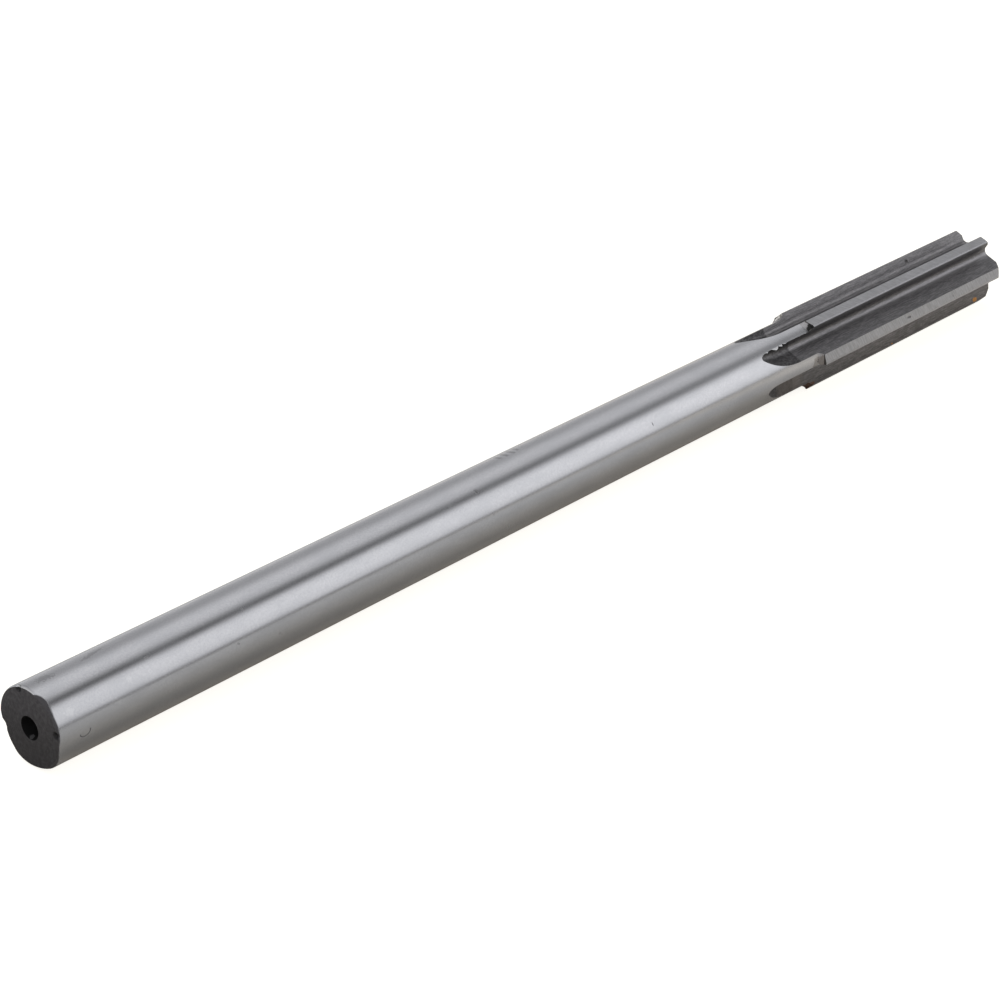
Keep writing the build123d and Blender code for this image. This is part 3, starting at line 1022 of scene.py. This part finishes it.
CLOTH_TINT = (0.97, 0.975, 1.0, 1)
# Low on the camera's side the bright cloth reaches lower by an angle farther along, and it is brighter by a
# share from a short way along: each with the stretch of rise on which it ends, and of reach on which it sets in
LOW_DROP = 3.5
DROP_RISE, DROP_REACH = np.array((10, 25)) / 180, (-0.13, 0.31)
LOW_GAIN = 0.13
GAIN_RISE, GAIN_REACH = np.array((40, 54)) / 180, (-0.26, -0.04)

tent_along = cos(radians(TENT_YAW)) * ALONG + sin(radians(TENT_YAW)) * SIDE
tent_along[2] = 0
tent_along /= np.linalg.norm(tent_along)
tent_side = np.cross(tent_along, (0, 0, 1.0))


def tent_cloth():
    """Half round: distance along the tent, and the tent's radius turned by the angle above the table. Its map
    holds the angle as a share of the half turn, and the share of the way from the near place to the far one."""
    rises, lengths = np.linspace(0, 180, TENT_ROWS), np.linspace(-TENT_HALF, TENT_HALF, TENT_COLUMNS)
    rise, t = np.meshgrid(rises, lengths, indexing="ij")
    a = np.radians(rise)[..., None]
    grid = tent_along * t[..., None] + TENT_RADIUS * (np.cos(a) * tent_side + np.sin(a) * np.array((0, 0, 1.0)))
    i, j = np.meshgrid(np.arange(TENT_ROWS - 1), np.arange(TENT_COLUMNS - 1), indexing="ij")
    corner = i * TENT_COLUMNS + j
    faces = np.stack((corner, corner + 1, corner + TENT_COLUMNS + 1, corner + TENT_COLUMNS), -1).reshape(-1, 4)
    cloth = bpy.data.meshes.new("tent")
    cloth.from_pydata((grid.reshape(-1, 3) * MM).tolist(), [], faces.tolist())
    share = (t - NEAR_PLACE) / (FAR_PLACE - NEAR_PLACE)
    pairs = np.stack((rise / 180, share), -1).reshape(-1, 2)[faces.ravel()]
    cloth.uv_layers.new(name="rise_and_reach").data.foreach_set("uv", pairs.ravel())
    return cloth


material, tree = new_material("tent_cloth")
rise, reach, _ = add(tree, "SeparateXYZ", (add(tree, "UVMap", uv_map="rise_and_reach"),)).outputs
drop = add(tree, "Math", (
    add(tree, "MapRange", (rise, *DROP_RISE, LOW_DROP / 180, 0.0), **SMOOTH),
    add(tree, "MapRange", (reach, *DROP_REACH, 0.0, 1.0), **SMOOTH),
), operation="MULTIPLY")
lowered = add(tree, "Math", (rise, drop), operation="ADD")
near, far = [add(tree, "ValToRGB", (lowered,), grey_stops(cloth, 180)) for cloth in (NEAR_CLOTH, FAR_CLOTH)]
lit = coats(tree, near, (reach, (0.0, 1.0), 1, far))
gain = add(tree, "Math", (
    add(tree, "MapRange", (rise, *GAIN_RISE, 1.0, 0.0), **SMOOTH),
    add(tree, "MapRange", (reach, *GAIN_REACH, 0.0, 1.0), **SMOOTH),
), operation="MULTIPLY")
gain = add(tree, "Math", (gain, LOW_GAIN, 1.0), operation="MULTIPLY_ADD")
gained = add(tree, "VectorMath", {0: lit, "Scale": gain}, operation="SCALE")
tint = add(tree, "Mix", {0: 1.0, 6: gained, 7: CLOTH_TINT}, data_type="RGBA", blend_type="MULTIPLY")
shine = add(tree, "Emission", {"Color": tint, "Strength": 1.0})
add(tree, "OutputMaterial", {"Surface": shine})
# The tent is so broad that rays meet it anyway, so it isn't sampled as a lamp
material.cycles.emission_sampling = "NONE"
tent = put_on_stage("tent", tent_cloth(), material)
tent.visible_camera = False

# A broad lamp above and behind, which the steel doesn't mirror, aimed at a place along the bar
LAMP_PLACE = (60.0, -400.0, 680.0)
LAMP_AIM = 60
LAMP_SIZE = 0.5
LAMP_POWER = 1.2
lamp_data = bpy.data.lights.new("broad_lamp", "AREA")
lamp_data.shape = "DISK"
lamp_data.size = LAMP_SIZE
lamp_data.energy = LAMP_POWER
lamp = bpy.data.objects.new("broad_lamp", lamp_data)
spot = END + LAMP_PLACE[0] * ALONG + LAMP_PLACE[1] * SIDE + LAMP_PLACE[2] * np.array((0, 0, 1.0))
lamp.location = Vector(spot * MM)
lamp.rotation_euler = Vector((END + LAMP_AIM * ALONG - spot) * MM).to_track_quat("-Z", "Y").to_euler()
lamp.visible_camera = False
lamp.visible_glossy = False
bpy.context.scene.collection.objects.link(lamp)

bpy.context.scene.view_settings.view_transform = "Standard"
